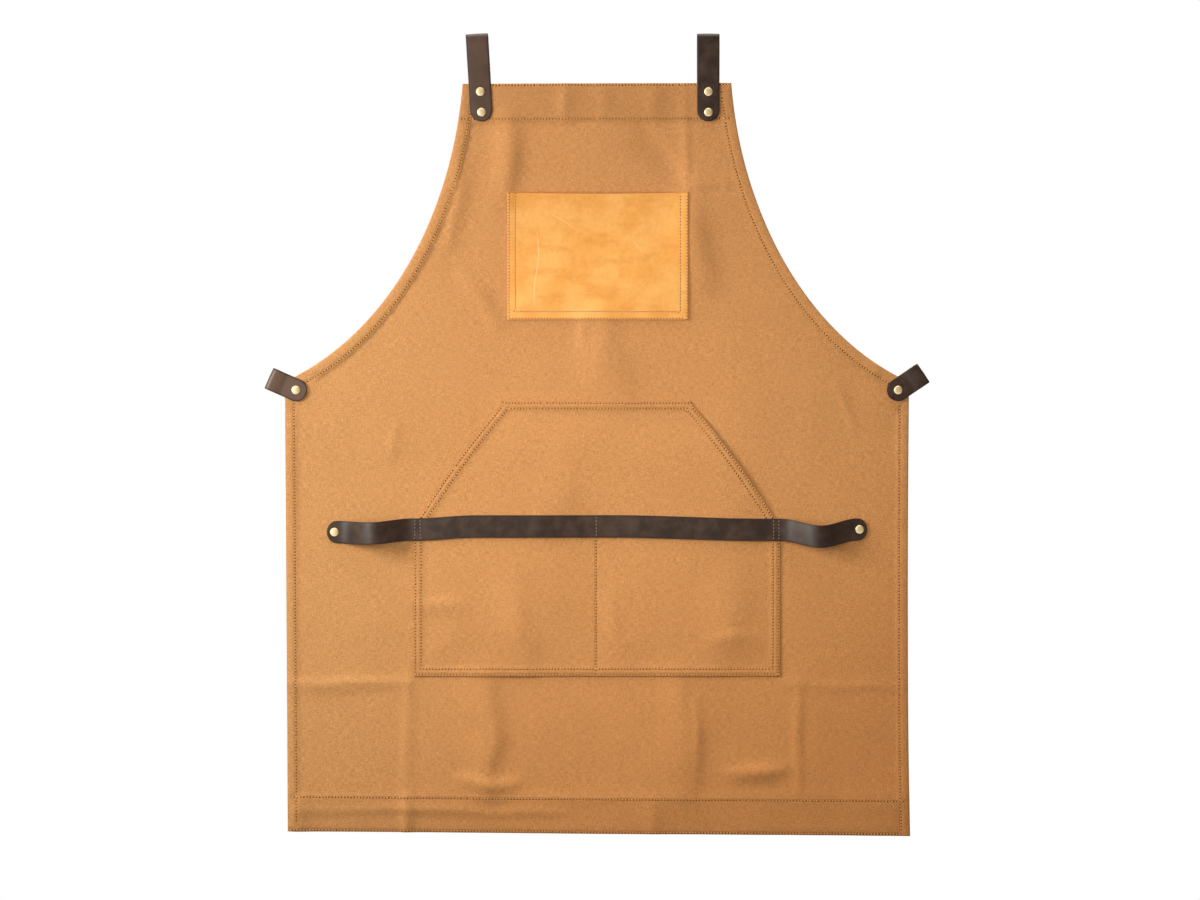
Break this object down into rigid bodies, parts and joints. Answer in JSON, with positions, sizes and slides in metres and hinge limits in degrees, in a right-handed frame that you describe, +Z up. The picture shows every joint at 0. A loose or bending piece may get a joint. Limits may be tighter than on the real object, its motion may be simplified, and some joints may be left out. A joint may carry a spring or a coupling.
{
  "type": "work apron",
  "caption": "Waxed canvas bib apron with leather chest pocket, canvas hand pocket, leather tool strap with hammer loops, and riveted leather strap loops.",
  "frame": {"origin": "the point the apron hangs from, midway between the two shoulder loops, level with the underside of their folds and in the middle of the cloth", "axes": "+Z up as it hangs, front towards -Y, +X to the right of someone facing the front"},
  "size_m": [0.7428, 0.0332, 0.8939],
  "materials": {
    "canvas": "dry waxed duck canvas, golden tan",
    "tan_leather": "smooth vegetable tanned leather, slightly mottled",
    "dark_leather": "dark brown bridle leather, satin, burnished edges",
    "brass": "polished double-cap rivets"
  },
  "bodies": {
    "apron": {"main_panel": "canvas", "chest_pocket": "tan_leather", "hand_pocket": "canvas", "tool_strap": "dark_leather", "shoulder_loop_left": "dark_leather", "shoulder_loop_right": "dark_leather", "rivet_cap_shoulder_left_upper": "brass", "rivet_post_shoulder_left_upper": "brass", "rivet_cap_shoulder_left_lower": "brass", "rivet_post_shoulder_left_lower": "brass", "rivet_cap_shoulder_right_upper": "brass", "rivet_post_shoulder_right_upper": "brass", "rivet_cap_shoulder_right_lower": "brass", "rivet_post_shoulder_right_lower": "brass", "rivet_cap_side_left": "brass", "rivet_post_side_left": "brass", "rivet_cap_side_right": "brass", "rivet_post_side_right": "brass", "rivet_cap_strap_left": "brass", "rivet_post_strap_left": "brass", "rivet_cap_strap_right": "brass", "rivet_post_strap_right": "brass"},
    "left_tie_loop": {"side_loop_left": "dark_leather"},
    "right_tie_loop": {"side_loop_right": "dark_leather"}
  },
  "joints": [
    {"name": "left_loop_swing", "type": "hinge", "parent": "apron", "child": "left_tie_loop", "pos_m": [-0.336, 0, -0.3954], "axis": [0, 1, 0], "range_deg": [-64, 74]},
    {"name": "right_loop_swing", "type": "hinge", "parent": "apron", "child": "right_tie_loop", "pos_m": [0.336, 0, -0.3954], "axis": [0, -1, 0], "range_deg": [-74, 64]}
  ]
}
